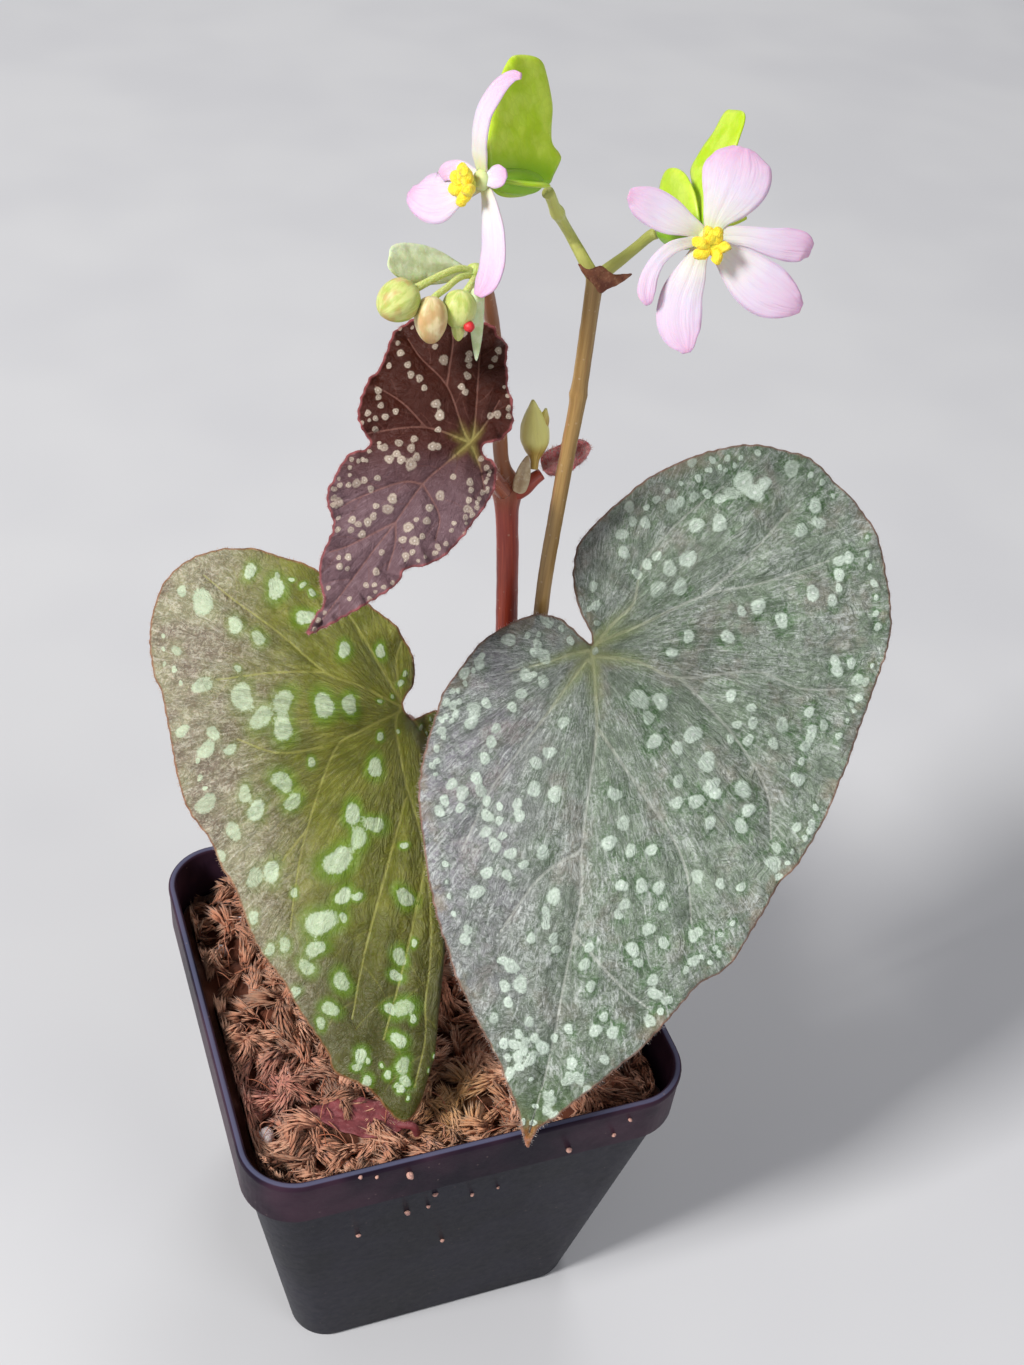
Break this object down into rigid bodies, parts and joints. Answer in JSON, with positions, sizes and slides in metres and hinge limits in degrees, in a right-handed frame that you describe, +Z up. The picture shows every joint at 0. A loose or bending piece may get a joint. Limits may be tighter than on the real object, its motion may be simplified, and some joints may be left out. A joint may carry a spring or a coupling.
{
  "type": "potted begonia",
  "caption": "Potted begonia: spotted lopsided heart-shaped leaves, red jointed cane, pale pink flowers with winged green ovaries and hanging buds, in moss in a square dark pot.",
  "frame": {"origin": "centre of the pot's flat base", "axes": "+Z up; the pot's front face, which the two large leaves hang over, faces -Y"},
  "size_m": [0.1353, 0.11, 0.2675],
  "materials": {
    "pot": "satin moulded plastic, near black with a violet cast",
    "moss": "fibrous, dry tan to orange-brown",
    "perlite": "rough off-white grain",
    "cane": "smooth red-brown stem skin",
    "flower_stalk": "smooth olive stem skin",
    "leaf_silver": "silver-grey satin leaf with pale raised spots",
    "leaf_green": "olive green satin leaf with pale spots",
    "leaf_dark": "burgundy satin leaf with pale spots",
    "leaf_on_moss": "red-purple leaf",
    "leaf_folded": "pale yellow-green young leaf",
    "leaf_pink": "downy pink young leaf",
    "stipule": "papery tan",
    "fork_bract": "dry papery brown",
    "petals": "soft petal, white to lilac pink",
    "stigmas": "velvety yellow",
    "ovary": "smooth lime green",
    "buds": "smooth pale yellow-green",
    "pale_bract": "thin pale green scale"
  },
  "bodies": {
    "root": {"pot": "pot", "moss": "moss", "perlite_grain_1": "perlite", "perlite_grain_2": "perlite", "perlite_grain_3": "perlite", "perlite_grain_4": "perlite", "cane": "cane", "flower_stalk": "flower_stalk", "leaf_silver": "leaf_silver", "leaf_green": "leaf_green", "leaf_dark": "leaf_dark", "leaf_on_moss": "leaf_on_moss", "leaf_folded": "leaf_folded", "leaf_pink": "leaf_pink", "stipule": "stipule", "fork_bract": "fork_bract", "left_flower_petals": "petals", "left_flower_stigmas": "stigmas", "left_flower_ovary": "ovary", "right_flower_petals": "petals", "right_flower_stigmas": "stigmas", "right_flower_ovary": "ovary", "bud_cluster": "buds", "bud_bract_wide": "pale_bract", "bud_bract_long": "pale_bract"}
  },
  "joints": []
}
